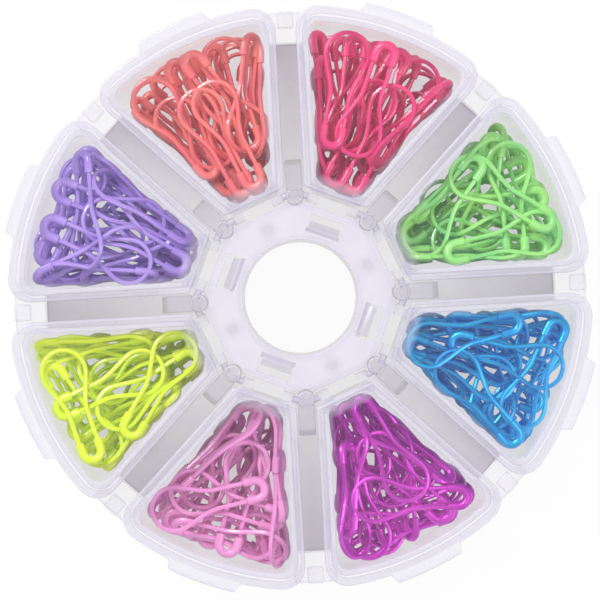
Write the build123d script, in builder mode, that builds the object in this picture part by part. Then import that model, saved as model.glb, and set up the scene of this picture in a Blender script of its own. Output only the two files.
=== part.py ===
from build123d import *
from math import asin, atan2, cos, degrees, radians, sin, sqrt
import os

# Round case of eight wedge compartments with hinged lids, filled with bulb-pin stitch
# markers in eight colours. Millimetres, +Z up. The origin is the centre of the
# underside. Spokes lie at 0, 45, 90 ... degrees, and compartment 0 is centred between
# the first two.

os.makedirs("parts", exist_ok=True)

# Case as a whole. Its width follows from the hub's sizes and the length of a marker.
compartments = 8
case_height = 27.0
bore_radius = 10.4
spoke_gap = 3.6
running_gap = 0.3

# Lids
lid_thickness = 1.2
lid_hub_setback = 0.2
lid_corner_radius = 4.0
lid_seat_gap = 0.3
skirt_depth = 2.6
skirt_side_wall = 0.75
skirt_outer_wall = 1.2
skirt_side_gap = 0.4
skirt_outer_gap = 0.5
skirt_block_gap = 0.4
skirt_corner_cut = 2.2
tab_reach = 1.7
tab_root_length = 14.0
tab_tip_length = 12.0

# Hinges of the lids; flats stand for the small circles of pins, columns and bosses
hinge_cover_gap = 0.35
hinge_drop = 1.6
knuckle_radius = 0.95
knuckle_length = 2.2
knuckle_neck_height = 1.1
hinge_pin_radius = 0.6
hinge_pin_clearance = 0.05
hinge_pin_end_gap = 0.2
hinge_pin_end_offset = 0.75
hinge_flats = 8

# Cups
cup_wall = 1.05
cup_floor = 1.2
cup_hinge_distance = 1.3
cup_play = 7.8
cup_corner_cut = 1.6
pocket_corner_radius = 2.2

# Hub and webs between the cups
deck_drop = 10.0
deck_thickness = 1.2
tube_wall = 0.9
column_radius = 1.55
column_flats = 12
column_hinge_distance = 0.7
column_top_drop = 0.6
block_length = 5.5
block_foot = 1.4
bridge_setback = 0.9
bridge_length = 5.7
bridge_drop = 4.6
bridge_step_length = 3.0
bridge_step_drop = 2.2

# Hub cover
cover_top_drop = 0.4
cover_thickness = 1.2
cover_rim_wall = 0.9
cover_rim_depth = 1.8
cover_seat_gap = 0.1
window_tube_gap = 0.15
window_width = 6.4
window_depth = 3.5
ledge_width = 0.8
ledge_drop = 0.7
peg_radius = 1.0
peg_length = 3.0
peg_clearance = 0.1
boss_radius = 1.9
boss_tube_gap = 0.2
boss_rim_gap = 0.1
boss_flats = 8
hooks = 4

# Snap hooks of the base, which hold the cover
hook_width = 5.6
hook_wall = 0.9
barb_overhang = 0.5

# Bulb-pin markers: a bent wire whose legs end in a folded cap
wire_width = 0.65
marker_length = 22.0
bulb_width = 8.8
bulb_chords = 7
leg_spacing = 3.4
flare_length = 2.2
cap_length = 4.4
cap_tube_width = 1.5
cap_thickness = 1.5
cap_chords = 4
marker_gap = 0.2

colours = ["green", "red", "orange", "purple", "yellow", "pink", "magenta", "blue"]
# Each marker in its cup: share of the way out from the pocket's inner edge, share of the
# pocket's half width there, and the turn in degrees from the cup's middle line
marker_place_shares = [
    (0.44, 0.24, 12),
    (0.42, -0.16, 170),
    (0.76, 0.02, 86),
    (0.58, -0.02, -24),
]

sector = 360 / compartments
half_sector = sector / 2
cos_half = cos(radians(half_sector))
sin_half = sin(radians(half_sector))

# Heights that follow from the sizes above
lid_underside = case_height - lid_thickness
cup_rim = lid_underside - lid_seat_gap
hinge_height = case_height - hinge_drop
deck_height = case_height - deck_drop
bridge_height = case_height - bridge_drop
bridge_step_height = case_height - bridge_step_drop
column_top = case_height - column_top_drop
cover_top = case_height - cover_top_drop
cover_underside = cover_top - cover_thickness
tube_top = cover_underside - cover_seat_gap

# Distances from the case's axis, from the bore out to the lids' rim
tube_radius = bore_radius + tube_wall
window_inner = tube_radius + window_tube_gap
window_distance = window_inner + window_depth / 2
peg_distance = tube_radius + boss_tube_gap + boss_radius
cover_edge = peg_distance + boss_radius + boss_rim_gap + cover_rim_wall
hinge_distance = cover_edge + hinge_cover_gap + knuckle_radius
column_distance = hinge_distance + column_hinge_distance
block_end = column_distance + block_length
block_foot_end = block_end + block_foot
cup_inner_edge = hinge_distance + cup_hinge_distance
pocket_inner_edge = cup_inner_edge + cup_wall
lid_inner_edge = cup_inner_edge + lid_hub_setback
skirt_start = block_end + skirt_block_gap
pocket_radius = pocket_inner_edge + marker_length + cup_play
cup_radius = pocket_radius + cup_wall
skirt_inner_radius = cup_radius + skirt_outer_gap
lid_radius = skirt_inner_radius + skirt_outer_wall
bridge_end = lid_radius - bridge_setback
bridge_step = bridge_end - bridge_step_length
bridge_start = bridge_end - bridge_length

# Distances from the middle of a spoke into the compartment beside it
block_width = spoke_gap - 2 * running_gap
lid_inset = spoke_gap / 2
skirt_inset = lid_inset + skirt_side_wall
cup_inset = skirt_inset + skirt_side_gap
pocket_inset = cup_inset + cup_wall


def side_point(reach, inset):
    """Point at a distance along a spoke, moved sideways into the compartment."""
    return (reach * cos_half + inset * sin_half, reach * sin_half - inset * cos_half)


def wedge(inset, inner_edge, outer_radius, inner_corner=0, outer_corner=0):
    """Compartment outline: straight inner edge, sides along the spokes, outer arc."""
    x_in, y_in = side_point((inner_edge - inset * sin_half) / cos_half, inset)
    x_out, y_out = side_point(sqrt(outer_radius**2 - inset**2), inset)
    with BuildSketch() as outline:
        with BuildLine():
            Line((x_in, -y_in), (x_in, y_in))
            Line((x_in, y_in), (x_out, y_out))
            ThreePointArc((x_out, y_out), (outer_radius, 0), (x_out, -y_out))
            Line((x_out, -y_out), (x_in, -y_in))
        make_face()
        if inner_corner:
            fillet(outline.vertices().sort_by(Axis.X)[:2], inner_corner)
        if outer_corner:
            fillet(outline.vertices().sort_by(Axis.X)[-2:], outer_corner)
    return outline.sketch


def radial_plane(angle, offset=0):
    """Upright plane through the axis: its x runs outwards and its y runs up."""
    outwards = (cos(radians(angle)), sin(radians(angle)), 0)
    across = (sin(radians(angle)), -cos(radians(angle)), 0)
    return Plane(origin=(0, 0, 0), x_dir=outwards, z_dir=across).offset(offset)


def level_plane(angle, height):
    """Level plane whose x runs outwards at the given angle."""
    outwards = (cos(radians(angle)), sin(radians(angle)), 0)
    return Plane(origin=(0, 0, height), x_dir=outwards, z_dir=(0, 0, 1))


def hinge_reach(offset):
    """Distance along a hinge axis at which it comes within an offset of the spoke."""
    return (hinge_distance * sin_half - offset) / cos_half


knuckle_slant = knuckle_radius * sin_half / cos_half
knuckle_end = hinge_reach(block_width / 2 + running_gap) - knuckle_slant
hinge_pin_end = hinge_reach(hinge_pin_end_offset)


def hinge_plane(number, along):
    """Upright plane square to the hinge of a compartment, at a distance along it."""
    angle = radians(half_sector + number * sector)
    across = (sin(angle), -cos(angle), 0)
    origin = (hinge_distance * cos(angle), hinge_distance * sin(angle), hinge_height)
    return Plane(origin=origin, x_dir=(cos(angle), sin(angle), 0), z_dir=across).offset(along)


def pin_hole(number, side):
    """Blind hole of a hinge pin, from the middle of the lid to its end in the block."""
    start = hinge_plane(number, side * knuckle_end)
    depth = hinge_pin_end + hinge_pin_end_gap - knuckle_end
    with BuildPart() as hole:
        with BuildSketch(start):
            RegularPolygon(hinge_pin_radius + hinge_pin_clearance, hinge_flats, major_radius=False)
        extrude(amount=side * depth)
    return hole.part


cup_edge = wedge(cup_inset, cup_inner_edge, cup_radius)
cup_outline = chamfer(cup_edge.vertices().sort_by(Axis.X)[-2:], cup_corner_cut)
pocket_outline = wedge(
    pocket_inset, pocket_inner_edge, pocket_radius, pocket_corner_radius, pocket_corner_radius
)

# One spoke block: from a column out to the web, with a sloping end
with BuildPart() as spoke_block:
    with BuildSketch(radial_plane(0)):
        with BuildLine():
            Polyline(
                (column_distance, deck_height),
                (column_distance, column_top),
                (block_end, column_top),
                (block_foot_end, deck_height),
                close=True,
            )
        make_face()
    extrude(amount=block_width / 2, both=True)

# One snap hook: an upright tongue whose barb points at the bore
hook_outer = window_distance + hook_wall / 2
hook_inner = window_distance - hook_wall / 2
barb_tip = window_inner + ledge_width - barb_overhang
ledge_height = cover_top - ledge_drop
with BuildPart() as hook:
    with BuildSketch(radial_plane(0)):
        with BuildLine():
            Polyline(
                (hook_inner, deck_height),
                (hook_inner, ledge_height + cover_seat_gap),
                (barb_tip, ledge_height + cover_seat_gap),
                (hook_inner, cover_top),
                (hook_outer, cover_top),
                (hook_outer, deck_height),
                close=True,
            )
        make_face()
    extrude(amount=hook_width / 2, both=True)

# Base: cups, deck, hub tube, columns, spoke blocks, outer bridges, hooks and bosses
with BuildPart() as base:
    with BuildSketch(Plane.XY.offset(cup_rim)):
        with PolarLocations(0, compartments, start_angle=half_sector):
            add(cup_outline)
    extrude(amount=-cup_rim)
    with BuildSketch(Plane.XY.offset(deck_height)):
        Circle(pocket_radius)
    extrude(amount=deck_thickness)
    with BuildSketch():
        Circle(tube_radius)
    extrude(amount=tube_top)
    with BuildSketch(Plane.XY.offset(deck_height)):
        with PolarLocations(column_distance, compartments):
            RegularPolygon(column_radius, column_flats, major_radius=False)
    extrude(amount=column_top - deck_height)
    with BuildSketch(Plane.XY.offset(deck_height)):
        with PolarLocations((bridge_start + bridge_end) / 2, compartments):
            Rectangle(bridge_end - bridge_start, 2 * pocket_inset)
        Circle(bridge_end, mode=Mode.INTERSECT)
    extrude(amount=bridge_height - deck_height)
    with BuildSketch(Plane.XY.offset(deck_height)):
        with PolarLocations((bridge_step + bridge_end) / 2, compartments):
            Rectangle(bridge_end - bridge_step, block_width)
        Circle(bridge_end, mode=Mode.INTERSECT)
    extrude(amount=bridge_step_height - deck_height)
    with BuildSketch(Plane.XY.offset(deck_height)):
        with PolarLocations(peg_distance, hooks, start_angle=half_sector):
            RegularPolygon(boss_radius, boss_flats)
    extrude(amount=tube_top - deck_height)
    with PolarLocations(0, compartments):
        add(spoke_block.part)
    with PolarLocations(0, hooks, start_angle=half_sector + sector):
        add(hook.part)
    with BuildSketch(Plane.XY.offset(cup_rim)):
        with PolarLocations(0, compartments, start_angle=half_sector):
            add(pocket_outline)
    extrude(amount=-(cup_rim - cup_floor), mode=Mode.SUBTRACT)
    with BuildSketch():
        Circle(bore_radius)
    extrude(amount=case_height, mode=Mode.SUBTRACT)
    with BuildSketch(Plane.XY.offset(tube_top)):
        with PolarLocations(peg_distance, hooks, start_angle=half_sector):
            RegularPolygon(peg_radius + peg_clearance, boss_flats)
    extrude(amount=-(peg_length + cover_seat_gap), mode=Mode.SUBTRACT)
    add(
        [pin_hole(number, side) for number in range(compartments) for side in (1, -1)],
        mode=Mode.SUBTRACT,
    )
base.part.label = "base"
export_step(base.part, "parts/base.step")

# Hub cover: octagonal ring plate, held by the hooks and placed by four pegs
with BuildPart() as hub_cover:
    with BuildSketch(Plane.XY.offset(cover_underside)):
        RegularPolygon(cover_edge, compartments, major_radius=False)
    extrude(amount=cover_thickness)
    with BuildSketch(Plane.XY.offset(cover_underside)):
        RegularPolygon(cover_edge, compartments, major_radius=False)
        RegularPolygon(
            cover_edge - cover_rim_wall, compartments, major_radius=False, mode=Mode.SUBTRACT
        )
    extrude(amount=-cover_rim_depth)
    with BuildSketch(Plane.XY.offset(cover_underside)):
        with PolarLocations(peg_distance, hooks, start_angle=half_sector):
            RegularPolygon(peg_radius, boss_flats)
    extrude(amount=-peg_length)
    with BuildSketch(Plane.XY.offset(cover_top)):
        Circle(bore_radius)
        with PolarLocations(column_distance, compartments):
            Circle(column_radius + running_gap)
        with PolarLocations(
            window_inner + (window_depth + ledge_width) / 2, hooks, start_angle=half_sector + sector
        ):
            Rectangle(window_depth - ledge_width, window_width)
    extrude(amount=-case_height, mode=Mode.SUBTRACT)
    with BuildSketch(Plane.XY.offset(cover_top)):
        with PolarLocations(window_distance, hooks, start_angle=half_sector + sector):
            Rectangle(window_depth, window_width)
    extrude(amount=-ledge_drop, mode=Mode.SUBTRACT)
hub_cover.part.label = "hub_cover"
export_step(hub_cover.part, "parts/hub_cover.step")


def make_lid(number):
    """Lid of one compartment: plate, skirt, thumb tab, knuckles and hinge pins."""
    angle = half_sector + number * sector
    outline = wedge(lid_inset, lid_inner_edge, lid_radius, outer_corner=lid_corner_radius)
    skirt = wedge(lid_inset, skirt_start, lid_radius, outer_corner=lid_corner_radius)
    with BuildPart() as lid:
        with BuildSketch(level_plane(angle, lid_underside)):
            add(outline)
            add(tab_outline)
        extrude(amount=lid_thickness)
        with BuildSketch(level_plane(angle, lid_underside)):
            add(skirt)
            add(skirt_inside, mode=Mode.SUBTRACT)
        extrude(amount=-skirt_depth)
        for side in (1, -1):
            with BuildSketch(hinge_plane(number, side * (knuckle_end - knuckle_length))):
                with BuildLine():
                    Polyline(*knuckle_points, close=True)
                make_face()
            extrude(amount=side * knuckle_length)
            with BuildSketch(hinge_plane(number, side * knuckle_end)):
                RegularPolygon(hinge_pin_radius, hinge_flats)
            extrude(amount=side * (hinge_pin_end - knuckle_end))
    return lid.part


# Skirt's inner outline, with its outer corners cut straight
skirt_edge = wedge(skirt_inset, lid_inner_edge, skirt_inner_radius)
skirt_corners = skirt_edge.vertices().sort_by(Axis.X)[-2:]
skirt_inside = chamfer(skirt_corners, skirt_corner_cut)

# Knuckle in its own plane, x outwards and y along the height: a nose round the hinge
# and a neck that climbs over the cup's rim to the lid's inner edge
nose_corner = knuckle_radius * sin(radians(half_sector))
neck_start = cup_inner_edge - running_gap - hinge_distance
neck_end = lid_inner_edge - hinge_distance + lid_inset
neck_underside = lid_underside - hinge_height
knuckle_points = [
    (-knuckle_radius, nose_corner),
    (-knuckle_radius, -nose_corner),
    (-nose_corner, -knuckle_radius),
    (nose_corner, -knuckle_radius),
    (neck_start, -nose_corner),
    (neck_start, neck_underside),
    (neck_end, neck_underside),
    (neck_end, knuckle_neck_height),
    (nose_corner, knuckle_radius),
    (-nose_corner, knuckle_radius),
]
tab_root = sqrt(lid_radius**2 - (tab_root_length / 2) ** 2) - skirt_outer_wall / 2
tab_radius = lid_radius + tab_reach
tab_side = sqrt(tab_radius**2 - (tab_tip_length / 2) ** 2)
with BuildSketch() as tab:
    with BuildLine():
        Polyline(
            (tab_side, -tab_tip_length / 2),
            (tab_root, -tab_root_length / 2),
            (tab_root, tab_root_length / 2),
            (tab_side, tab_tip_length / 2),
        )
        ThreePointArc(
            (tab_side, tab_tip_length / 2), (tab_radius, 0), (tab_side, -tab_tip_length / 2)
        )
    make_face()
tab_outline = tab.sketch

for number, colour in enumerate(colours):
    lid_part = make_lid(number)
    lid_part.label = f"lid_{colour}"
    export_step(lid_part, f"parts/lid_{colour}.step")


def bend(centre, radius, first, last, chords):
    """Points round a bend about a centre on the x axis, from one angle to another."""
    step = (last - first) / chords
    angles = [radians(first + step * turn) for turn in range(chords + 1)]
    return [(centre + radius * cos(angle), radius * sin(angle)) for angle in angles]


def strip(outer_side, inner_side):
    """Sketch between two open paths that run the same way."""
    with BuildSketch() as shape:
        with BuildLine():
            Polyline(*outer_side, *reversed(inner_side), close=True)
        make_face()
    return shape.sketch


def wire_side(leg, radius):
    """One side of the wire: parallel legs that open at a kink into a round bulb."""
    flare = asin(radius / sqrt((bulb_centre - kink) ** 2 + leg**2))
    spread = 90 + degrees(flare - atan2(leg, bulb_centre - kink))
    bulb = bend(bulb_centre, radius, spread, -spread, bulb_chords)
    return [(cap_length, leg), (kink, leg), *bulb, (kink, -leg), (cap_length, -leg)]


def cap_side(leg):
    """One side of the cap, which is folded in a half round behind its two legs."""
    fold = bend(cap_centre, leg, 270, 90, cap_chords)
    return [(cap_length, -leg), *fold, (cap_length, leg)]


kink = marker_length - bulb_width - flare_length
bulb_centre = marker_length - bulb_width / 2
cap_centre = (leg_spacing + cap_tube_width) / 2
wire_shape = strip(
    wire_side((leg_spacing + wire_width) / 2, bulb_width / 2),
    wire_side((leg_spacing - wire_width) / 2, bulb_width / 2 - wire_width),
)
cap_shape = strip(
    cap_side((leg_spacing + cap_tube_width) / 2),
    cap_side((leg_spacing - cap_tube_width) / 2),
)


def marker_plane(number, layer, height):
    """Level plane of one marker, with its origin at the cap's closed end."""
    way_share, side_share, turn = marker_place_shares[layer]
    hand = 1 if number % 2 == 0 else -1
    outwards = pocket_inner_edge + way_share * (pocket_radius - pocket_inner_edge)
    half_width = (outwards * sin_half - pocket_inset) / cos_half
    cup_plane = level_plane(half_sector + number * sector, height)
    middle = Pos(outwards, hand * side_share * half_width)
    return cup_plane * middle * Rot(0, 0, hand * turn) * Pos(-marker_length / 2, 0)


for number, colour in enumerate(colours):
    layers = range(len(marker_place_shares))
    cap_floors = [
        cup_floor + marker_gap + layer * (cap_thickness + marker_gap) for layer in layers
    ]
    with BuildPart() as wires:
        for layer in layers:
            height = cap_floors[layer] + (cap_thickness - wire_width) / 2
            with BuildSketch(marker_plane(number, layer, height)):
                add(wire_shape)
            extrude(amount=wire_width)
    wires.part.label = f"wires_{colour}"
    export_step(wires.part, f"parts/wires_{colour}.step")
    with BuildPart() as caps:
        for layer in layers:
            with BuildSketch(marker_plane(number, layer, cap_floors[layer])):
                add(cap_shape)
            extrude(amount=cap_thickness)
    caps.part.label = f"caps_{colour}"
    export_step(caps.part, f"parts/caps_{colour}.step")
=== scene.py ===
"""Looks of a round case of eight lidded cups filled with bulb-pin stitch markers.

Each piece is a closed surface worked out with numpy in metres, +Z up, in the frame of the
solids. A cup or lid is drawn about its own middle line, x outwards, and turned into place.
"""

from math import atan2, cos, pi, radians, sin, sqrt, tan

import bmesh
import bpy
import numpy as np
from bpy.props import FloatProperty, FloatVectorProperty, IntProperty, PointerProperty
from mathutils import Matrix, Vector


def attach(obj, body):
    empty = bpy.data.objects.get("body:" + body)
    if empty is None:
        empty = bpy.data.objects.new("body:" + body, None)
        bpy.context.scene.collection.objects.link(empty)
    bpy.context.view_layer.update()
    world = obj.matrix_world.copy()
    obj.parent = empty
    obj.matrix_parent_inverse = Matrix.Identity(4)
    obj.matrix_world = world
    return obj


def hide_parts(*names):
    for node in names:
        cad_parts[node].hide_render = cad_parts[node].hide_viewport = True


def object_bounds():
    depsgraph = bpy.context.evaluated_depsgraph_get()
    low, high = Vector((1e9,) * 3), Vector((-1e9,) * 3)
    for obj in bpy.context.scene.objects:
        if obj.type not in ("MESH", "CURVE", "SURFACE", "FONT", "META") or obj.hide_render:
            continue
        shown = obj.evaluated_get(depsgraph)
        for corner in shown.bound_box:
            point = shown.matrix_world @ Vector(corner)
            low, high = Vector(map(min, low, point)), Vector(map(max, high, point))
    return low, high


bl_info = {
    "name": "Stitch marker case",
    "version": (1, 0, 0),
    "blender": (4, 5, 0),
    "location": "View3D > Sidebar > Marker case",
    "description": "Builds a round case of lidded cups filled with bulb-pin stitch markers",
    "category": "Add Mesh",
}

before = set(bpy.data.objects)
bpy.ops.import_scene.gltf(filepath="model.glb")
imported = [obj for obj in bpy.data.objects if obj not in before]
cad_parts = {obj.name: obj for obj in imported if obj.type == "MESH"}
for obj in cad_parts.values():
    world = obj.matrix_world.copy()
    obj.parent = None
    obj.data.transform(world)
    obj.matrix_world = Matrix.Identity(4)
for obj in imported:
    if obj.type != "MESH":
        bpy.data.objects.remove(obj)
solid_low, solid_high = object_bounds()

MM = 0.001
# Colours of the cups, anticlockwise, and the angle of a cup's sector
COLOURS = ["green", "red", "orange", "purple", "yellow", "pink", "magenta", "blue"]
SECTOR = 2 * pi / len(COLOURS)
HALF = SECTOR / 2

# Case
case_height = solid_high.z
bore_radius = 10.4 * MM
tube_radius = 11.3 * MM
lid_radius = 52.5 * MM
running_gap = 0.3 * MM

# Lids: inset is the distance from the middle of a spoke
lid_thickness = 1.2 * MM
lid_inset = 1.8 * MM
lid_inner_edge = 19.1 * MM
lid_outer_corner = 4.0 * MM
lid_inner_corner = 0.7 * MM
skirt_depth = 2.6 * MM
skirt_inset = 2.55 * MM
skirt_inner_edge = lid_inner_edge + 0.75 * MM
skirt_radius = 51.3 * MM
skirt_corner = 3.6 * MM
skirt_inner_corner = 0.3 * MM
skirt_start = 24.2 * MM
skirt_run_out = 0.6 * MM
lid_rounding = 0.35 * MM
lid_side_end = 0.45 * MM
lid_rim_band = 0.5 * MM
lid_inner_band = 2.2 * MM
lid_window_inset = 3.2 * MM
tab_reach = 1.7 * MM
tab_root_length = 14.0 * MM
tab_tip_length = 12.0 * MM

# Hinges
hinge_distance = 17.6 * MM
hinge_height = case_height - 1.6 * MM
knuckle_radius = 0.95 * MM
knuckle_length = 2.2 * MM
knuckle_neck_height = 1.1 * MM
hinge_pin_radius = 0.6 * MM
hinge_pin_end_offset = 0.75 * MM
hinge_pin_root = 0.3 * MM
knuckle_rounding = 0.08 * MM
hinge_pin_rounding = 0.1 * MM

# Cups
cup_rim = case_height - 1.5 * MM
cup_inset = 2.95 * MM
cup_inner_edge = 18.9 * MM
cup_radius = 50.8 * MM
cup_corner = 2.7 * MM
cup_inner_corner = 0.6 * MM
cup_floor = 1.2 * MM
pocket_inset = 4.0 * MM
pocket_inner_edge = 19.95 * MM
pocket_radius = 49.75 * MM
pocket_corner = 2.2 * MM
cup_draft = 0.25 * MM
cup_foot_rounding = 1.0 * MM
cup_rim_rounding = 0.3 * MM
pocket_foot_rounding = 1.5 * MM

# Markers: the kink is where the wire leaves its straight leg towards the bulb
marker_length = 22.0 * MM
lacquered_wire_width = 0.85 * MM
bulb_width = 8.8 * MM
bulb_centre = marker_length - bulb_width / 2
kink = 11.0 * MM
straight_leg_end = 8.0 * MM
wire_start = 3.2 * MM
leg_spacing = 3.4 * MM
cap_length = 4.4 * MM
cap_width = 1.6 * MM
cap_thickness = 1.4 * MM
cap_centre = 2.45 * MM
greatest_bow = 0.5 * MM

# Heap in a cup: angles in degrees
heap_margin = 0.15 * MM
heap_spacing = 3.0 * MM
# Share of its width that a marker on edge takes up, and how much chance rules its place
on_edge_width = 0.12
heap_chance = 0.25
heap_tries = 4000
heap_floor = cup_floor + 1.3 * MM
heap_top = case_height - 4.2 * MM
heap_half_width = 15 * MM
heap_end_room = 4 * MM
on_edge_share = 0.3
on_edge_roll = (40, 72)
flat_roll = 4
tip_spread = 2.2
standing_clearance = 0.6 * MM

# Hub, webs and bridges
deck_height = case_height - 10.0 * MM
deck_thickness = 1.2 * MM
column_distance = 18.3 * MM
column_radius = 1.55 * MM
column_top = case_height - 0.6 * MM
column_rounding = 0.3 * MM
block_width = 3.0 * MM
block_end = 23.8 * MM
block_foot_end = 25.2 * MM
block_drop = 0.25 * MM
block_rounding = 0.25 * MM
strip_corner = 0.4 * MM
bridge_start = 45.9 * MM
bridge_step = 48.6 * MM
bridge_end = 51.6 * MM
bridge_half_width = pocket_inset - 0.1 * MM
bridge_height = case_height - 4.6 * MM
bridge_step_height = case_height - 2.2 * MM

# Where one form runs into another, it starts this far inside it. A face that would lie in one
# plane with another piece's face is kept this little apart from it
overlap = 0.3 * MM
plane_gap = 0.05 * MM

# Hub cover's windows and the tube, bosses and hooks of the base below it
cover_top = case_height - 0.4 * MM
cover_underside = case_height - 1.7 * MM
cover_seat_gap = 0.1 * MM
cover_rounding = 0.14 * MM
window_inner = 11.45 * MM
window_depth = 3.5 * MM
ledge_width = 0.8 * MM
ledge_drop = 0.7 * MM
tube_rounding = 0.2 * MM
boss_distance = 13.4 * MM
boss_radius = 1.9 * MM
boss_rounding = 0.2 * MM
hook_width = 5.6 * MM
hook_wall = 0.9 * MM
hook_rounding = 0.08 * MM
hook_count = 4
barb_overhang = 0.5 * MM

# Painted shade: the plastic is painted greyish at the deck, where it lies deep in shade, and pale
# this much higher up
painted_shade_rise = 5.0 * MM

# Haze: share of what lies behind it that the plastic hides, from 0 to 1
rim_haze = 0.55
tube_haze = 0.22
hub_deck_haze = 0.12
deck_haze_per_metre = 0.4 / (pocket_radius - cup_inner_edge)
cup_underside_haze = 0.15
cup_foot_haze = 0.12
cup_outer_haze = 0.10
pocket_wall_haze = 0.24
pocket_floor_haze = 0.3
block_haze = 0.26
bridge_haze = 0.1
bridge_edge_haze = 0.4
column_haze = 0.28
hook_haze = 0.45
boss_haze = 0.15
lid_window_haze = 0.028
lid_band_haze = 0.34
lid_inner_band_haze = 0.28
skirt_haze = 0.12
skirt_wall_haze = 0.14
skirt_edge_haze = 0.45
tab_underside_haze = 0.3
lid_side_haze = 0.15
knuckle_haze = 0.2
hinge_pin_haze = 0.5
cover_haze = 0.4
cover_edge_haze = 0.62

# Heap of markers in each cup: lean of the heap from the ray through each marker, spread of the
# single markers about it, both in degrees, the share that lies cap outwards and the share of
# the tries in which a marker lies crosswise
heaps = {
    "green": (-22, 24, 0.5, 0.2),
    "red": (2, 11, 0.6, 0.0),
    "orange": (2, 11, 0.65, 0.0),
    "purple": (22, 26, 0.5, 0.15),
    "yellow": (16, 20, 0.45, 0.12),
    "pink": (0, 16, 0.6, 0.25),
    "magenta": (-10, 28, 0.5, 0.2),
    "blue": (14, 30, 0.5, 0.15),
}
metallic_colours = ["magenta", "blue"]

# Lacquer of each colour as seen on a screen: body, then a lit tone and a shaded tone of it, which
# are laid in random patches as painted light and painted shade
enamels = {
    "green": ((0.62, 0.93, 0.49), (0.74, 0.98, 0.48), (0.42, 0.80, 0.54)),
    "red": ((0.97, 0.20, 0.48), (0.99, 0.30, 0.54), (0.80, 0.11, 0.48)),
    "orange": ((0.98, 0.48, 0.46), (1.0, 0.57, 0.50), (0.92, 0.37, 0.48)),
    "purple": ((0.70, 0.57, 0.91), (0.78, 0.67, 0.96), (0.57, 0.44, 0.84)),
    "yellow": ((0.92, 1.0, 0.16), (0.95, 1.0, 0.28), (0.84, 0.98, 0.12)),
    "pink": ((0.96, 0.60, 0.84), (0.99, 0.69, 0.90), (0.87, 0.50, 0.78)),
    "magenta": ((0.92, 0.20, 0.86), (0.98, 0.42, 0.95), (0.64, 0.08, 0.68)),
    "blue": ((0.03, 0.72, 1.0), (0.22, 0.88, 1.0), (0.02, 0.36, 0.80)),
}

# Photograph: its width, the middle and radius of the wheel and how far it is turned
photo_size_px = 600
wheel_centre_px = (300.3, 297.5)
lid_radius_px = 293.0
wheel_turn = radians(3.2)

# Light: place and disc size of each lamp in metres and its power in watts
lamp_settings = {
    "key": ((-0.35, 0.45, 0.75), 0.35, 5.2),
    "fill": ((0.55, -0.25, 0.7), 0.6, 2.3),
}
sky_strength = 0.58

# Table: share of it that is white by itself, tone of the rest, half width and depth below 0
table_glow = 0.94
table_tone = 0.96
table_half_width = 1.5
table_drop = 0.02 * MM

# Number of clear walls that one line of sight may pass
clear_walls = 32

# Edges sharper than this aren't shaded smooth
sharp_angle = radians(40)


class Skin:
    """Closed surface: points, faces of four and of three corners, and the haze of each point."""

    def __init__(self, points, quads, triangles, haze):
        self.points = points
        self.quads = quads
        self.triangles = triangles
        self.haze = haze

    def moved(self, origin, x_way, y_way):
        """Same surface in axes of its own: x and y ways are given, z is square to both."""
        x_way = np.asarray(x_way, float)
        y_way = np.asarray(y_way, float)
        axes = np.stack([x_way, y_way, np.cross(x_way, y_way)])
        return Skin(self.points @ axes + np.asarray(origin), self.quads, self.triangles, self.haze)

    def turned(self, angle):
        """Same surface turned about the case's axis."""
        return self.moved((0, 0, 0), (cos(angle), sin(angle), 0), (-sin(angle), cos(angle), 0))


def joined(skins):
    """One surface of several, their corner numbers moved up by the points before them."""
    starts = np.cumsum([0] + [len(skin.points) for skin in skins[:-1]])
    return Skin(
        np.concatenate([skin.points for skin in skins]),
        np.concatenate([skin.quads + start for skin, start in zip(skins, starts)]),
        np.concatenate([skin.triangles + start for skin, start in zip(skins, starts)]),
        np.concatenate([skin.haze for skin in skins]),
    )


def loft(rows, haze=0.0):
    """Closed skin over loops of points: neighbours along and across the rows make a face, each
    loop runs round, and a fan to the mean of the first and of the last loop closes the ends.
    Loops run anticlockwise and climb from the middle of the underside to the middle of the top.
    """
    rows = np.asarray(rows, float)
    count, columns = rows.shape[:2]
    index = np.arange(count * columns).reshape(count, columns)
    after = np.roll(index, -1, axis=1)
    quads = np.stack([index[:-1], after[:-1], after[1:], index[1:]], axis=-1).reshape(-1, 4)
    low = np.full(columns, count * columns)
    fans = [
        np.stack([after[0], index[0], low], axis=-1),
        np.stack([index[-1], after[-1], low + 1], axis=-1),
    ]
    points = np.concatenate(
        [rows.reshape(-1, 3), rows[0].mean(axis=0)[None], rows[-1].mean(axis=0)[None]]
    )
    haze = np.broadcast_to(np.asarray(haze, float).reshape(-1, 1), (count, columns))
    haze = np.concatenate([haze.reshape(-1), haze[0, :1], haze[-1, :1]])
    return Skin(points, quads, np.concatenate(fans), haze)


def ring(rows, haze):
    """Closed skin over loops whose last one joins the first, for a body with a hole."""
    rows = np.asarray(rows, float)
    count, columns = rows.shape[:2]
    index = np.arange(count * columns).reshape(count, columns)
    after = np.roll(index, -1, axis=1)
    above = np.roll(index, -1, axis=0)
    quads = np.stack([index, after, np.roll(after, -1, axis=0), above], axis=-1).reshape(-1, 4)
    haze = np.broadcast_to(haze, (count, columns))
    return Skin(rows.reshape(-1, 3), quads, np.zeros((0, 3), int), haze.reshape(-1))


def level(outline, height):
    """Flat loop of points lifted to a height."""
    return np.column_stack([outline, np.full(len(outline), height)])


def moved_inwards(outline, distance):
    """Anticlockwise outline moved inwards: each point along the mitre of its two edges."""
    edge = np.roll(outline, -1, axis=0) - outline
    normal = np.column_stack([-edge[:, 1], edge[:, 0]])
    normal /= np.linalg.norm(normal, axis=1, keepdims=True)
    before = np.roll(normal, 1, axis=0)
    return outline + distance * (normal + before) / (
        1 + (normal * before).sum(axis=1, keepdims=True)
    )


def quarter(radius, steps=3):
    """Quarter round as pairs (way in from the edge, way below the top), from side to top."""
    turns = np.linspace(0, pi / 2, steps + 1)
    return list(zip(radius * (1 - np.cos(turns)), radius * (1 - np.sin(turns))))


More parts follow.
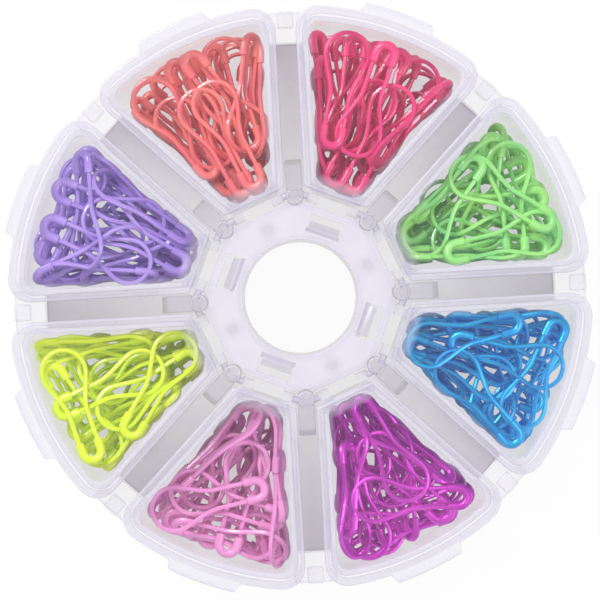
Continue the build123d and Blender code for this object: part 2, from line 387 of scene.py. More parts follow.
def prism(outline, low, high, rounding, haze, edge_haze=0.0):
    """Upright body over an outline: its loop moves inwards by radius * (1 - cos) and climbs by
    radius * sin along a quarter round at both ends. The upper round may have a haze of its
    own, which stops a little way below and inside it."""
    outline = np.asarray(outline, float)
    steps = quarter(rounding)
    past_round = 1.3 * rounding
    rows = [level(moved_inwards(outline, way), low + drop) for way, drop in reversed(steps)]
    rows.append(level(outline, high - past_round))
    rows += [level(moved_inwards(outline, way), high - drop) for way, drop in steps]
    rows.append(level(moved_inwards(outline, past_round), high))
    hazes = np.full(len(rows), haze)
    if edge_haze:
        hazes[-1 - len(steps) : -1] = edge_haze
    return loft(rows, hazes)


def circle(radius, count=32, centre=(0.0, 0.0)):
    """Anticlockwise circle of points."""
    turns = np.linspace(0, 2 * pi, count, endpoint=False)
    return np.column_stack([centre[0] + radius * np.cos(turns), centre[1] + radius * np.sin(turns)])


def rectangle(x_low, x_high, y_low, y_high, corner):
    """Anticlockwise rectangle whose corners are quarter circles."""
    turns = np.linspace(0, pi / 2, 4)
    arc = corner * np.column_stack([np.cos(turns), np.sin(turns)])
    middle = np.array([x_low + x_high, y_low + y_high]) / 2
    parts = []
    for number, place in enumerate(
        [(x_high, y_high), (x_low, y_high), (x_low, y_low), (x_high, y_low)]
    ):
        turn = number * pi / 2
        spin = np.array([[cos(turn), sin(turn)], [-sin(turn), cos(turn)]])
        parts.append(arc @ spin + place - corner * np.sign(place - middle))
    return np.concatenate(parts)


def side_point(reach, inset):
    """Point at a distance along the upper spoke, moved sideways into the compartment."""
    return np.array([reach * cos(HALF) + inset * sin(HALF), reach * sin(HALF) - inset * cos(HALF)])


def wedge(inset, inner_edge, outer_radius, inner_corner, outer_corner, tab=0.0):
    """Anticlockwise outline of a compartment with round corners: outer arc, upper side, inner
    edge, lower side. A corner's arc is centred at its radius from both lines that it joins.
    The tab lifts the outer arc by a smooth step at each of its ends."""
    deep = inset + outer_corner
    far = side_point(sqrt((outer_radius - outer_corner) ** 2 - deep**2), deep)
    swing = atan2(far[1], far[0])
    deep = inset + inner_corner
    near = side_point((inner_edge + inner_corner - deep * sin(HALF)) / cos(HALF), deep)
    root, tip = tab_root_length / 2 / outer_radius, tab_tip_length / 2 / outer_radius
    knots = [-swing, -root, -tip, tip, root, swing]
    stretches = zip(knots, knots[1:], (9, 4, 16, 4, 9))
    turns = [np.linspace(start, end, n, endpoint=False) for start, end, n in stretches]
    turns = np.append(np.concatenate(turns), swing)
    rise = np.clip((root - np.abs(turns)) / (root - tip), 0, 1)
    reach = outer_radius + tab * rise**2 * (3 - 2 * rise)
    arc = np.column_stack([reach * np.cos(turns), reach * np.sin(turns)])
    bend = np.linspace(swing, pi / 2 + HALF, 8)[1:]
    far_corner = far + outer_corner * np.column_stack([np.cos(bend), np.sin(bend)])
    bend = np.linspace(pi / 2 + HALF, pi, 6)
    near_corner = near + inner_corner * np.column_stack([np.cos(bend), np.sin(bend)])
    shares = np.linspace(0, 1, 18)[1:-1, None]
    side = far_corner[-1] + shares * (near_corner[0] - far_corner[-1])
    upper = np.concatenate([far_corner, side, near_corner])
    edge = near_corner[-1] * [1, -1]
    hub = near_corner[-1] + np.linspace(0, 1, 9)[1:-1, None] * (edge - near_corner[-1])
    return np.concatenate([arc, upper, hub, upper[::-1] * [1, -1]])


def fill_mesh(name, skin):
    """New mesh from a skin, shaded smooth but for its sharp edges."""
    mesh = bpy.data.meshes.new(name)
    corners = np.concatenate([skin.quads.reshape(-1), skin.triangles.reshape(-1)])
    starts = np.concatenate(
        [
            np.arange(len(skin.quads)) * 4,
            len(skin.quads) * 4 + np.arange(len(skin.triangles)) * 3,
        ]
    )
    mesh.vertices.add(len(skin.points))
    mesh.vertices.foreach_set("co", skin.points.astype(np.float32).reshape(-1))
    mesh.loops.add(len(corners))
    mesh.loops.foreach_set("vertex_index", corners.astype(np.int32))
    mesh.polygons.add(len(starts))
    mesh.polygons.foreach_set("loop_start", starts.astype(np.int32))
    mesh.polygons.foreach_set("use_smooth", np.ones(len(starts), bool))
    mesh.update(calc_edges=True)
    mesh.validate()
    mesh.set_sharp_from_angle(angle=sharp_angle)
    attribute = mesh.attributes.new("haze", "FLOAT", "POINT")
    attribute.data.foreach_set("value", skin.haze.astype(np.float32))
    return mesh


def add_piece(name, skin, material, body):
    """Shown piece at the origin that rides on a body of the case."""
    piece = bpy.data.objects.new(name, fill_mesh(name, skin))
    bpy.context.scene.collection.objects.link(piece)
    piece.data.materials.append(material)
    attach(piece, body)
    return piece


class Signal:
    """Output of a shader node with arithmetic: each operator adds one Math node."""

    def __init__(self, paint, socket):
        self.paint = paint
        self.socket = socket

    def combined(self, operation, *values):
        sockets = dict(enumerate(values))
        return self.paint.node("ShaderNodeMath", {"operation": operation}, sockets, "Value")

    def __add__(self, other):
        return self.combined("ADD", self, other)

    def __sub__(self, other):
        return self.combined("SUBTRACT", self, other)

    def __rsub__(self, other):
        return self.combined("SUBTRACT", other, self)

    def __mul__(self, other):
        return self.combined("MULTIPLY", self, other)

    def __pow__(self, other):
        return self.combined("POWER", self, other)

    __radd__ = __add__
    __rmul__ = __mul__

    def clamped(self, low, high):
        """The same values, kept between two limits."""
        return self.combined("MINIMUM", self.combined("MAXIMUM", self, low), high)


class Paint:
    """A material's node tree, filled node by node."""

    def __init__(self, name):
        self.material = bpy.data.materials.new(name)
        self.material.use_nodes = True
        self.tree = self.material.node_tree
        self.tree.nodes.clear()

    def node(self, kind, settings, sockets, output):
        """Adds a node of a type: settings first, then values or links, and gives an output."""
        made = self.tree.nodes.new(kind)
        for key, value in settings.items():
            setattr(made, key, value)
        for key, value in sockets.items():
            if isinstance(value, Signal):
                self.tree.links.new(value.socket, made.inputs[key])
            else:
                made.inputs[key].default_value = value
        return Signal(self, made.outputs[output])

    def place(self):
        """Place of a point on the piece, in metres."""
        return self.node("ShaderNodeTexCoord", {}, {}, "Object")

    def noise(self, size, detail=2.0):
        """Cloudy pattern from 0 to 1 whose patches are about as large as the size."""
        sockets = {"Vector": self.place(), "Scale": 1 / size, "Detail": detail}
        return self.node("ShaderNodeTexNoise", {"noise_dimensions": "3D"}, sockets, 0)

    def blended(self, share, first, second):
        """Colour between two colours. Sockets 6 and 7 are a Mix node's colours."""
        sockets = {0: share, 6: first, 7: second}
        return self.node("ShaderNodeMix", {"data_type": "RGBA"}, sockets, 2)

    def bump(self, height, strength, distance):
        """Normal of a surface that a height from 0 to 1 lifts by up to the distance."""
        sockets = {"Height": height, "Strength": strength, "Distance": distance}
        return self.node("ShaderNodeBump", {}, sockets, "Normal")

    def finished(self, shader):
        """The material, with a shader as its surface."""
        output = self.tree.nodes.new("ShaderNodeOutputMaterial")
        self.tree.links.new(shader.socket, output.inputs["Surface"])
        return self.material


def shade(colour):
    """Colour written as on a screen, made linear."""
    return (*[c / 12.92 if c <= 0.04045 else ((c + 0.055) / 1.055) ** 2.4 for c in colour], 1.0)


def case_plastic():
    """Clear, slightly milky plastic. How much it hides grows with the piece's own haze, where
    the wall is seen edge on and, faintly, in clouds. Its colour carries painted shade: greyish at
    the deck and below, where the plastic lies deep in shade, and pale higher up."""
    paint = Paint("case_plastic")
    clouds = paint.noise(14 * MM, 2.0)
    specks = paint.noise(0.5 * MM, 1.0)
    haze = paint.node("ShaderNodeAttribute", {"attribute_name": "haze"}, {}, "Fac")
    edge_on = paint.node("ShaderNodeLayerWeight", {}, {"Blend": 0.35}, "Facing")
    hidden = haze * (0.85 + 0.3 * clouds) + 0.15 * edge_on**2.0
    height = paint.node("ShaderNodeSeparateXYZ", {}, {"Vector": paint.place()}, "Z")
    # Painted shade: the plastic is painted greyish at the deck and below, where it lies deep in
    # shade, and turns to its pale tint over the rise above it
    out_of_painted_shade = (height * (1 / painted_shade_rise) - deck_height / painted_shade_rise).clamped(0, 1)
    tint = paint.blended(clouds, shade((0.82, 0.805, 0.875)), shade((0.87, 0.857, 0.91)))
    tint = paint.blended(out_of_painted_shade, shade((0.71, 0.67, 0.735)), tint)
    sockets = {
        "Base Color": tint,
        "Roughness": 0.16 + 0.08 * clouds,
        "IOR": 1.5,
        "Alpha": hidden.clamped(0.01, 0.9),
        "Normal": paint.bump(clouds + 0.15 * specks, 0.25, 0.3 * MM),
    }
    return paint.finished(paint.node("ShaderNodeBsdfPrincipled", {}, sockets, 0))


def cover_plastic(name, haze):
    """The same plastic with an even haze, for the hub cover."""
    paint = Paint(name)
    clouds = paint.noise(9 * MM, 2.0)
    edge_on = paint.node("ShaderNodeLayerWeight", {}, {"Blend": 0.35}, "Facing")
    tint = paint.blended(clouds, shade((0.88, 0.86, 0.93)), shade((0.92, 0.905, 0.955)))
    sockets = {
        "Base Color": tint,
        "Roughness": 0.2 + 0.08 * clouds,
        "IOR": 1.5,
        "Alpha": (haze + 0.08 * clouds + 0.15 * edge_on**2.0).clamped(0.03, 0.9),
        "Normal": paint.bump(clouds, 0.2, 0.3 * MM),
    }
    return paint.finished(paint.node("ShaderNodeBsdfPrincipled", {}, sockets, 0))


def enamel(colour, body):
    """Glossy lacquer on wire with a clear coat, and painted light and painted shade: lit and shaded
    tones of the lacquer in random patches.
    """
    _, light, deep = enamels[colour]
    paint = Paint(f"{colour}_lacquer")
    painted_light_patches = paint.noise(6 * MM, 1.0)
    grain = paint.noise(0.35 * MM, 2.0)
    # Painted light and painted shade: the lit and shaded tones of the lacquer, laid in random
    # patches
    tone = paint.blended((2.2 * painted_light_patches - 0.6).clamped(0, 1), shade(deep), shade(light))
    tone = paint.blended(0.55 + 0.3 * (grain - 0.5), tone, shade(body))
    sockets = {
        "Base Color": tone,
        "Metallic": 0.7 if colour in metallic_colours else 0.0,
        "Roughness": 0.26 + 0.1 * grain,
        "Coat Weight": 0.6,
        "Coat Roughness": 0.08,
        "Normal": paint.bump(grain, 0.2, 0.05 * MM),
    }
    return paint.finished(paint.node("ShaderNodeBsdfPrincipled", {}, sockets, 0))


def cup_skin():
    """One cup, closed: floor from below, round bottom edge, outer wall with a draft, rounded
    rim, inner wall, hollow floor corner, and the floor from above."""
    smallest, smallest_inner = 0.3 * MM, 0.1 * MM

    def outer(way):
        return wedge(
            cup_inset + way,
            cup_inner_edge + way,
            cup_radius - way,
            max(cup_inner_corner - way, smallest_inner),
            max(cup_corner - way, smallest),
        )

    def inner(way):
        return wedge(
            pocket_inset + way,
            pocket_inner_edge + way,
            pocket_radius - way,
            max(pocket_corner - way, smallest),
            max(pocket_corner - way, smallest),
        )

    foot, rim = quarter(cup_foot_rounding, 4), quarter(cup_rim_rounding)
    hollow = quarter(pocket_foot_rounding, 4)
    middle, rim_band = 4 * MM, 0.5 * MM
    rows = [(level(outer(middle), 0), cup_underside_haze)]
    rows += [(level(outer(cup_draft + way), drop), cup_foot_haze) for way, drop in reversed(foot)]
    rows += [(level(outer(0.02 * MM), cup_rim - rim_band), cup_outer_haze)]
    rows += [(level(outer(way), cup_rim - drop), rim_haze) for way, drop in rim]
    rows += [(level(inner(-way), cup_rim - drop), rim_haze) for way, drop in reversed(rim)]
    rows += [(level(inner(0), cup_rim - rim_band), pocket_wall_haze)]
    rows += [(level(inner(way), cup_floor + drop), pocket_wall_haze) for way, drop in hollow]
    rows += [(level(inner(middle), cup_floor), pocket_floor_haze)]
    return loft(*zip(*rows))


def deck_skin():
    """Level deck that joins the cups: a ring from the hub tube out to whichever comes last on
    each ray, the side or the inner edge of a cup, but no farther than the outer bridge. Its
    edge reaches a little way into the walls and the bridge."""
    cups = len(COLOURS)
    from_spoke = HALF * np.linspace(0, 1, 41)[1:] ** 1.6
    side = (cup_inset + overlap) / np.sin(from_spoke)
    edge = (cup_inner_edge + overlap) / np.cos(HALF - from_spoke)
    farthest = bridge_start + overlap
    reach = np.minimum(np.maximum(side, edge), farthest)
    from_spoke = np.concatenate([-from_spoke[-2::-1], [0], from_spoke])
    reach = np.concatenate([reach[-2::-1], [farthest], reach])
    turns = np.concatenate([from_spoke + number * SECTOR for number in range(cups)])
    way = np.column_stack([np.cos(turns), np.sin(turns)])
    outer = way * np.tile(reach, cups)[:, None]
    inner = way * (tube_radius - overlap)
    top = deck_height + deck_thickness
    rows = [(inner, deck_height), (outer, deck_height), (outer, top), (inner, top)]
    far = hub_deck_haze + deck_haze_per_metre * np.tile(reach - cup_inner_edge, cups)
    near = np.full(len(turns), hub_deck_haze)
    return ring([level(*row) for row in rows], np.stack([near, far, far, near]))


def strip_outline(start, end, half_width):
    """Narrow rectangle along the x axis between two distances."""
    return rectangle(start, end, -half_width, half_width, strip_corner)


def profile_skin(profile, half_width, rounding, haze):
    """Body across the x axis: an upright outline of (x, z), given anticlockwise, carried from
    one side to the other, its edges rounded."""
    flat = prism(profile, -half_width, half_width, rounding, haze)
    return flat.moved((0, 0, 0), (1, 0, 0), (0, 0, 1))


def spoke_skin():
    """Everything on one spoke, which runs along x: block, column and the outer bridge with its
    step. Hidden ends reach into the walls beside them."""
    block_start = column_distance + 0.8 * column_radius
    block_top = column_top - block_drop
    block = [
        (block_start, deck_height + overlap),
        (block_foot_end, deck_height + overlap),
        (block_end, block_top),
        (block_start, block_top),
    ]
    bridge = strip_outline(bridge_start, bridge_end, bridge_half_width)
    step = strip_outline(bridge_step, bridge_end, block_width / 2)
    column = circle(column_radius, 28, (column_distance, 0))
    bridge_look = (block_rounding, bridge_haze, bridge_edge_haze)
    return joined(
        [
            profile_skin(block, block_width / 2, block_rounding, block_haze),
            prism(bridge, deck_height - plane_gap, bridge_height, *bridge_look),
            prism(step, bridge_height - overlap, bridge_step_height, *bridge_look),
            prism(column, deck_height + overlap, column_top, column_rounding, column_haze, rim_haze),
        ]
    )


def hook_skin():
    """Upright tongue of one snap hook with its barb towards the bore."""
    middle = window_inner + window_depth / 2
    outer, inner = middle + hook_wall / 2, middle - hook_wall / 2
    tip = window_inner + ledge_width - barb_overhang
    barb = cover_top - ledge_drop + cover_seat_gap
    profile = [
        (inner, deck_height + overlap),
        (outer, deck_height + overlap),
        (outer, cover_top),
        (inner, cover_top),
        (tip, barb),
        (inner, barb),
    ]
    return profile_skin(profile, hook_width / 2, hook_rounding, hook_haze)


def tube_skin():
    """Hub tube around the bore, closed over both rims: a loop of quarter rounds that runs up
    the outer wall and down the inner one."""
    low, high = 0.0, cover_underside
    rounds = quarter(tube_rounding, 2)
    rows = [(bore_radius + way, low + drop) for way, drop in rounds]
    rows += [(tube_radius - way, low + drop) for way, drop in reversed(rounds)]
    rows += [(tube_radius - way, high - drop) for way, drop in rounds]
    rows += [(bore_radius + way, high - drop) for way, drop in reversed(rounds)]
    return ring([level(circle(radius, 96), height) for radius, height in rows], tube_haze)


def base_skin():
    """The base: cups, tube, spokes, hooks and bosses, each closed in itself."""
    cup, spoke, hook = cup_skin(), spoke_skin(), hook_skin()
    outline = circle(boss_radius, 24, (boss_distance, 0))
    boss = prism(outline, deck_height + overlap, cover_underside, boss_rounding, boss_haze)
    cups, hooks = range(len(COLOURS)), range(hook_count)
    skins = [tube_skin(), deck_skin()]
    skins += [cup.turned(HALF + number * SECTOR) for number in cups]
    skins += [spoke.turned(number * SECTOR) for number in cups]
    skins += [hook.turned(HALF + SECTOR + number * 2 * SECTOR) for number in hooks]
    skins += [boss.turned(HALF + number * 2 * SECTOR) for number in hooks]
    return joined(skins)


def lid_skin():
    """One lid, closed: underside inside the skirt, the skirt's inner wall, its lower edge, the
    outer wall with the thumb tab, the round upper edge and the top. The skirt runs out towards
    the hinge: its depth grows by a smooth step along the lid."""
    smallest = 0.1 * MM

    def outer(way, tab=0.0):
        return wedge(
            lid_inset + way,
            lid_inner_edge + way,
            lid_radius - way,
            max(lid_inner_corner - way, smallest),
            lid_outer_corner - way,
            tab,
        )

    inner = wedge(skirt_inset, skirt_inner_edge, skirt_radius, skirt_inner_corner, skirt_corner)
    underside = case_height - lid_thickness
    share = np.clip((outer(0)[:, 0] - skirt_start) / skirt_run_out, 0, 1)
    depth = np.maximum(skirt_depth * share**2 * (3 - 2 * share), 0.01 * MM)

    def hung(outline, part):
        return np.column_stack([outline, underside - depth * part])

    window = 0.94 * inner + np.array([2.2 * MM, 0])
    in_lip = inner + 0.1 * (outer(0.1 * MM) - inner)
    out_lip = inner + 0.9 * (outer(0) - inner)
    rows = [
        (level(window, underside), lid_window_haze),
        (hung(inner, 0), skirt_haze),
        (hung(inner, 0.9), skirt_wall_haze),
        (hung(in_lip, 1), skirt_edge_haze),
        (hung(out_lip, 1), skirt_edge_haze),
        (hung(outer(0), 0.9), skirt_wall_haze),
        (hung(outer(0), 0.15), skirt_haze),
        (hung(outer(0, tab_reach), 0), tab_underside_haze),
        (level(outer(0, tab_reach), case_height - lid_side_end), lid_side_haze),
    ]
    for way, drop in quarter(lid_rounding):
        rows.append((level(outer(way, tab_reach), case_height - drop), rim_haze))
    rows += [
        (level(outer(lid_rim_band, tab_reach), case_height), lid_band_haze),
        (level(outer(lid_inner_band), case_height), lid_inner_band_haze),
        (level(outer(lid_window_inset), case_height), lid_window_haze),
    ]
    return loft(*zip(*rows))


def knuckle_skins():
    """The two hinge knuckles of a lid with their necks and pins, along the hinge line."""
    slant = knuckle_radius * tan(HALF)
    end = (hinge_distance * sin(HALF) - block_width / 2 - running_gap) / cos(HALF) - slant
    pin_end = (hinge_distance * sin(HALF) - hinge_pin_end_offset) / cos(HALF)
    neck_start = cup_inner_edge - running_gap - hinge_distance
    neck_end = lid_inner_edge + lid_inset - hinge_distance
    under = case_height - lid_thickness - hinge_height + plane_gap
    turns = np.radians(np.linspace(90, 300, 16))
    round_side = knuckle_radius * np.column_stack([np.cos(turns), np.sin(turns)])
    corner = [(neck_start, -overlap), (neck_start, under), (neck_end, under)]
    profile = np.concatenate([round_side, corner, [(neck_end, knuckle_neck_height)]])
    skins = []
    for side in (1, -1):
        first, last = sorted((side * (end - knuckle_length), side * end))
        body = prism(profile, first, last, knuckle_rounding, knuckle_haze)
        first, last = sorted((side * (end - hinge_pin_root), side * pin_end))
        pin = prism(circle(hinge_pin_radius, 20), first, last, hinge_pin_rounding, hinge_pin_haze)
        for skin in (body, pin):
            skins.append(skin.moved((hinge_distance, 0, hinge_height), (1, 0, 0), (0, 0, 1)))
    return skins


def tubes(paths, ups, widths, heights, sides):
    """Closed tubes along many paths at once. At each point of a path a loop of width * cos
    across it and height * sin along the marker's own up way is set; fans close both ends."""
    count, length = paths.shape[:2]
    tangent = np.gradient(paths, axis=1)
    tangent /= np.linalg.norm(tangent, axis=-1, keepdims=True)
    up = np.broadcast_to(ups[:, None], tangent.shape)
    up = up - (up * tangent).sum(axis=-1, keepdims=True) * tangent
    up /= np.linalg.norm(up, axis=-1, keepdims=True)
    across = np.cross(up, tangent)
    turns = np.linspace(0, 2 * pi, sides, endpoint=False)
    loops = paths[:, :, None] + (
        (widths[:, None] * np.cos(turns))[None, :, :, None] * across[:, :, None]
        + (heights[:, None] * np.sin(turns))[None, :, :, None] * up[:, :, None]
    )
    one = loft(loops[0])
    ends = np.stack([loops[:, 0].mean(axis=1), loops[:, -1].mean(axis=1)], axis=1)
    points = np.concatenate([loops.reshape(count, -1, 3), ends], axis=1)
    starts = (np.arange(count) * (length * sides + 2))[:, None, None]
    return Skin(
        points.reshape(-1, 3),
        (one.quads[None] + starts).reshape(-1, 4),
        (one.triangles[None] + starts).reshape(-1, 3),
        np.zeros(points.shape[0] * points.shape[1]),
    )


def smoothed(path, times):
    """Open path with its corners cut: each pass puts points at a quarter and three quarters
    of every stretch and keeps both ends."""
    for _ in range(times):
        first, last = path[:1], path[-1:]
        near = 0.75 * path[:-1] + 0.25 * path[1:]
        far = 0.25 * path[:-1] + 0.75 * path[1:]
        between = np.stack([near, far], axis=1).reshape(-1, path.shape[1])
        path = np.concatenate([first, between[1:-1], last])
    return path


def wire_path(width):
    """Middle line of a marker's wire in its own plane, from one leg round the bulb to the
    other: straight legs, a waist, and a bulb round its centre. The bulb is drawn 2 percent
    larger, because smoothing cuts its corners."""
    leg, radius = leg_spacing / 2, 1.02 * (bulb_width - width) / 2
    turns = np.radians(np.linspace(118, 0, 6))
    bulb = np.column_stack([bulb_centre + radius * np.cos(turns), radius * np.sin(turns)])
    stem = [(wire_start, leg), (straight_leg_end, leg), (kink, leg)]
    upper = np.concatenate([stem, bulb])
    return smoothed(np.concatenate([upper, upper[-2::-1] * [1, -1]]), 2)


def cap_path():
    """Middle line of a marker's cap: a leg, the half round fold and the other leg."""
    leg = leg_spacing / 2
    turns = np.radians(np.linspace(90, 270, 9))
    fold = np.column_stack([cap_centre + leg * np.cos(turns), leg * np.sin(turns)])
    ends = cap_length + np.array([0.0, -0.03, -0.12]) * MM
    upper = np.column_stack([ends, np.full(3, leg)])
    return np.concatenate([upper, fold, upper[::-1] * [1, -1]])


def heap_places(colour, count, seed):
    """Places of the markers of one cup: middle, direction along the marker and sideways. Many
    random places are tried for each layer. Those whose outline leaves the pocket are dropped,
    and the one whose spots lie farthest from the spots taken before, by a sum of bell curves of
    the distances, is taken. Some markers lean on their edge."""
    random = np.random.default_rng(seed)
    lean, spread, cap_out, crosswise = heaps[colour]
    reach, half_bulb = marker_length / 2, bulb_width / 2
    hull_along = reach * np.array([-1, -1, 0.35, 0.6, 0.98, 0.98, 0.6, 0.35])
    hull_aside = half_bulb * np.array([-0.45, 0.45, 0.8, 1, 0.4, -0.4, -1, -0.8])
    spots = reach * np.array([-0.85, -0.45, 0, 0.4, 0.8])
    taken = []
    spots_taken = np.zeros((0, 2))
    for layer in range(count):
        if random.random() < on_edge_share:
            roll = radians(random.choice((-1, 1)) * random.uniform(*on_edge_roll))
        else:
            roll = radians(random.normal(0, flat_roll))
        tip = radians(random.normal(0, tip_spread))
        nearest, farthest = pocket_inner_edge + heap_end_room, pocket_radius - heap_end_room
        middle = np.column_stack(
            [
                random.uniform(nearest, farthest, heap_tries),
                random.uniform(-heap_half_width, heap_half_width, heap_tries),
            ]
        )
        angle = np.radians(lean + spread * random.standard_normal(heap_tries))
        angle += np.arctan2(middle[:, 1], middle[:, 0])
        angle += np.where(random.random(heap_tries) < cap_out, pi, 0)
        angle += np.where(random.random(heap_tries) < crosswise, pi / 2, 0)
        along = np.column_stack([np.cos(angle), np.sin(angle)])
        aside = np.column_stack([-np.sin(angle), np.cos(angle)])
        narrow = abs(cos(roll)) + on_edge_width * abs(sin(roll))
        hull = middle[:, None] + hull_along[:, None] * along[:, None]
        hull = hull + narrow * hull_aside[:, None] * aside[:, None]
        to_side = hull[..., 0] * sin(HALF) - np.abs(hull[..., 1]) * cos(HALF) - pocket_inset
        to_rim = pocket_radius - np.linalg.norm(hull, axis=-1)
        room = np.minimum(np.minimum(to_side, to_rim), hull[..., 0] - pocket_inner_edge)
        inside = np.flatnonzero(room.min(axis=1) > heap_margin)
        places = middle[inside, None] + spots[:, None] * along[inside, None]
        apart = np.linalg.norm(places[:, :, None] - spots_taken[None, None], axis=-1)
        crowd = np.exp(-((apart / heap_spacing) ** 2)).sum(axis=(1, 2))
        best = np.argmin(crowd + heap_chance * random.random(len(inside)))
        spots_taken = np.concatenate([spots_taken, places[best]])
        best = inside[best]
        standing = (half_bulb - standing_clearance) * abs(sin(roll))
        height = heap_floor + (heap_top - heap_floor) * layer / (count - 1)
        height = min(max(height, heap_floor + standing), heap_top - standing)
        x_way = np.array([*(along[best] * cos(tip)), sin(tip)])
        y_way = np.array([*(aside[best] * cos(roll)), sin(roll)])
        y_way -= (y_way @ x_way) * x_way
        y_way /= np.linalg.norm(y_way)
        taken.append((np.array([*middle[best], height]), x_way, y_way))
    return taken


def marker_skins(colour, count, seed, wire_width):
    """Wires and caps of all markers in a cup, as two skins. Each marker is bowed: its points
    rise by the bow times the square of their distance from its middle. The last loops at each
    end of a cap are drawn in."""
    places = heap_places(colour, count, seed)
    middles = np.array([place[0] for place in places])
    axes = np.array([[place[1], place[2]] for place in places])
    ups = np.cross(axes[:, 0], axes[:, 1])
    random = np.random.default_rng(seed + 100)
    bow = random.uniform(-greatest_bow, greatest_bow, count)[:, None, None]
    skins = []
    for path, width, height, sides, end_shares in (
        (wire_path(wire_width), wire_width, wire_width, 7, (1, 1, 1)),
        (cap_path(), cap_width, cap_thickness, 10, (0.62, 0.88, 1)),
    ):
        flat = path - [marker_length / 2, 0]
        rise = (flat[:, 0] / (marker_length / 2)) ** 2
        paths = middles[:, None] + flat @ axes + bow * rise[None, :, None] * ups[:, None]
        shares = np.ones(len(path))
        shares[:3] = end_shares
        shares[-3:] = end_shares[::-1]
        skins.append(tubes(paths, ups, width / 2 * shares, height / 2 * shares, sides))
    return skins


def enamel_colour(colour):
    """Setting for the lacquer of one colour, written as on a screen."""
    return FloatVectorProperty(
        name=f"{colour.capitalize()} lacquer",
        description=f"Colour of the {colour} markers",
        subtype="COLOR_GAMMA",
        size=3,
        min=0,
        max=1,
        default=enamels[colour][0],
    )


class MarkerCaseSettings(bpy.types.PropertyGroup):
    """Values that can be changed in the sidebar."""

    markers_per_cup: IntProperty(
        name="Markers in a cup",
        description="Number of markers heaped in each of the eight cups",
        default=30,
        min=4,
        max=32,
    )
    seed: IntProperty(
        name="Seed",
        description="Start of the random places of the markers",
        default=7,
    )
    wire_width: FloatProperty(
        name="Wire width",
        description="Thickness of a marker's lacquered wire",
        default=lacquered_wire_width,
        min=0.3 * MM,
        max=1.2 * MM,
        precision=5,
        subtype="DISTANCE",
        unit="LENGTH",
    )
    green: enamel_colour("green")
    red: enamel_colour("red")
    orange: enamel_colour("orange")
    purple: enamel_colour("purple")
    yellow: enamel_colour("yellow")
    pink: enamel_colour("pink")
    magenta: enamel_colour("magenta")
    blue: enamel_colour("blue")
    camera_height: FloatProperty(
        name="Camera height",
        description="Height of the camera above the table",
        default=0.557,
        subtype="DISTANCE",
        unit="LENGTH",
    )


def rounded_copy(node, name, width, finishes):
    """Copy of a solid with its points merged, its flats made whole and its sharp edges rounded.
    The flats take the first finish and the rounded edges the second."""
    shape = bmesh.new()
    shape.from_mesh(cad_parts[node].data)
    bmesh.ops.remove_doubles(shape, verts=shape.verts, dist=0.002 * MM)
    bmesh.ops.dissolve_limit(shape, angle_limit=radians(2), verts=shape.verts, edges=shape.edges)
    mesh = bpy.data.meshes.new(name)
    shape.to_mesh(mesh)
    shape.free()
    for attribute in [entry.name for entry in mesh.attributes if "normal" in entry.name]:
        mesh.attributes.remove(mesh.attributes[attribute])
    for finish in finishes:
        mesh.materials.append(finish)
    mesh.set_sharp_from_angle(angle=sharp_angle)
    piece = bpy.data.objects.new(name, mesh)
    bpy.context.scene.collection.objects.link(piece)
    bevel = piece.modifiers.new("round_edges", "BEVEL")
    bevel.width = width
    bevel.segments = 2
    bevel.limit_method = "ANGLE"
    bevel.angle_limit = sharp_angle
    bevel.material = 1
    return piece


class MARKERCASE_OT_base(bpy.types.Operator):
    """Builds the base with its cups, hub tube, hooks and bridges"""

    bl_idname = "markercase.base"
    bl_label = "Base"

    def execute(self, context):
        piece = add_piece("case_base", base_skin(), case_plastic(), "case")
        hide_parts("base")
        return {"FINISHED"}


class MARKERCASE_OT_cover(bpy.types.Operator):
    """Rounds the edges of the hub cover and gives it its finish"""

    bl_idname = "markercase.cover"
    bl_label = "Hub cover"

    def execute(self, context):
        finishes = [
            cover_plastic("cover_plastic", cover_haze),
            cover_plastic("cover_edge", cover_edge_haze),
        ]
        cover = rounded_copy("hub_cover", "round_hub_cover", cover_rounding, finishes)
        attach(cover, "case")
        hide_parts("hub_cover")
        return {"FINISHED"}


class MARKERCASE_OT_lids(bpy.types.Operator):
    """Builds the eight hinged lids"""

    bl_idname = "markercase.lids"
    bl_label = "Lids"

    def execute(self, context):
        material = bpy.data.materials.get("case_plastic") or case_plastic()
        lid = joined([lid_skin(), *knuckle_skins()])
        for number, colour in enumerate(COLOURS):
            skin, body = lid.turned(HALF + number * SECTOR), f"lid_{colour}"
            piece = add_piece(f"clear_lid_{colour}", skin, material, body)
            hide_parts(f"lid_{colour}")
        return {"FINISHED"}


class MARKERCASE_OT_markers(bpy.types.Operator):
    """Heaps the markers of each colour in their cup"""

    bl_idname = "markercase.markers"
    bl_label = "Markers"

    def execute(self, context):
        settings = context.scene.marker_case
        for number, colour in enumerate(COLOURS):
            material = enamel(colour, getattr(settings, colour))
            skins = marker_skins(
                colour, settings.markers_per_cup, settings.seed + number, settings.wire_width
            )
            for kind, skin in zip(("wires", "caps"), skins):
                name, skin = f"heaped_{kind}_{colour}", skin.turned(HALF + number * SECTOR)
                piece = add_piece(name, skin, material, "case")
                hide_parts(f"{kind}_{colour}")
        return {"FINISHED"}


def disc_lamp(name, place, size, power):
    """Round lamp that looks at the middle of the case."""
    lamp = bpy.data.lights.new(name, "AREA")
    lamp.shape = "DISK"
    lamp.size = size
    lamp.energy = power
    holder = bpy.data.objects.new(name, lamp)
    holder.location = place
    holder.rotation_euler = (-Vector(place)).to_track_quat("-Z", "Y").to_euler()
    bpy.context.scene.collection.objects.link(holder)
    return holder


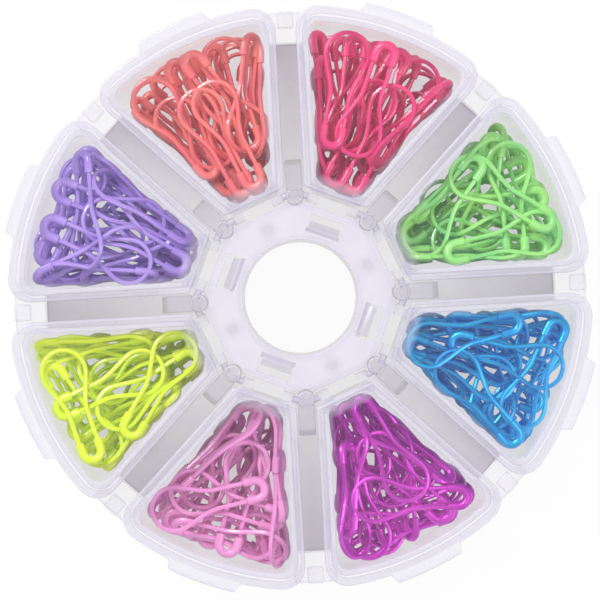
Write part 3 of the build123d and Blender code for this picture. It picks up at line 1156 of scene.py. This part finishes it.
def white_table():
    """Square table just below the case. It is white where the camera, a reflection or a
    refraction sees it, but for a small share of plain white that keeps the case's shadow."""
    half = table_half_width
    floor = bpy.data.meshes.new("table")
    corners = [(-half, -half, 0), (half, -half, 0), (half, half, 0), (-half, half, 0)]
    floor.from_pydata(corners, [], [(0, 1, 2, 3)])
    table = bpy.data.objects.new("table", floor)
    table.location.z = -table_drop
    bpy.context.scene.collection.objects.link(table)
    paint = Paint("table_white")
    rays = ("Is Camera Ray", "Is Glossy Ray", "Is Transmission Ray")
    ray = sum(paint.node("ShaderNodeLightPath", {}, {}, kind) for kind in rays).clamped(0, 1)
    white = paint.node("ShaderNodeEmission", {}, {"Color": (1, 1, 1, 1), "Strength": 1.0}, 0)
    tone = (table_tone, table_tone, table_tone, 1)
    lit = paint.node("ShaderNodeBsdfDiffuse", {}, {"Color": tone}, 0)
    shares = {0: table_glow * ray, 1: lit, 2: white}
    floor.materials.append(paint.finished(paint.node("ShaderNodeMixShader", {}, shares, 0)))
    return table


def photo_camera(height):
    """Camera straight above the case. Its distance to the lids sets the lens, and it is moved
    and rolled so that the wheel lies in the picture as it does in the photograph."""
    camera = bpy.data.cameras.new("photo_camera")
    camera.sensor_width = 36
    seen = lid_radius / lid_radius_px * photo_size_px
    camera.lens = camera.sensor_width * (height - case_height) / seen
    metres_per_px = seen / photo_size_px
    right = (photo_size_px / 2 - wheel_centre_px[0]) * metres_per_px
    up = (wheel_centre_px[1] - photo_size_px / 2) * metres_per_px
    roll = -wheel_turn
    holder = bpy.data.objects.new("photo_camera", camera)
    holder.location = (
        right * cos(roll) - up * sin(roll),
        right * sin(roll) + up * cos(roll),
        height,
    )
    holder.rotation_euler = (0, 0, roll)
    bpy.context.scene.collection.objects.link(holder)
    return holder


class MARKERCASE_OT_stage(bpy.types.Operator):
    """Sets the white table, the lamps and the camera"""

    bl_idname = "markercase.stage"
    bl_label = "Stage"

    def execute(self, context):
        scene = context.scene
        table = white_table()
        world = bpy.data.worlds.new("studio")
        world.use_nodes = True
        sky = world.node_tree.nodes["Background"]
        sky.inputs["Color"].default_value = (1, 1, 1, 1)
        sky.inputs["Strength"].default_value = sky_strength
        scene.world = world
        lamps = [disc_lamp(name, *values) for name, values in lamp_settings.items()]
        scene.camera = photo_camera(scene.marker_case.camera_height)
        scene.view_settings.view_transform = "Standard"
        scene.cycles.transparent_max_bounces = clear_walls
        return {"FINISHED"}


class MARKERCASE_PT_panel(bpy.types.Panel):
    """Sidebar panel with the values and one button for each group of pieces"""

    bl_idname = "MARKERCASE_PT_panel"
    bl_label = "Marker case"
    bl_space_type = "VIEW_3D"
    bl_region_type = "UI"
    bl_category = "Marker case"

    def draw(self, context):
        settings = context.scene.marker_case
        layout = self.layout
        for key in ("markers_per_cup", "seed", "wire_width", *COLOURS, "camera_height"):
            layout.prop(settings, key)
        for step in steps:
            layout.operator(step.bl_idname)


steps = [
    MARKERCASE_OT_base,
    MARKERCASE_OT_cover,
    MARKERCASE_OT_lids,
    MARKERCASE_OT_markers,
    MARKERCASE_OT_stage,
]
classes = [MarkerCaseSettings, *steps, MARKERCASE_PT_panel]


def register():
    for entry in classes:
        bpy.utils.register_class(entry)
    bpy.types.Scene.marker_case = PointerProperty(type=MarkerCaseSettings)


def unregister():
    del bpy.types.Scene.marker_case
    for entry in reversed(classes):
        bpy.utils.unregister_class(entry)


def main():
    register()
    for step in steps:
        group, name = step.bl_idname.split(".")
        getattr(getattr(bpy.ops, group), name)()


if __name__ == "__main__":
    main()
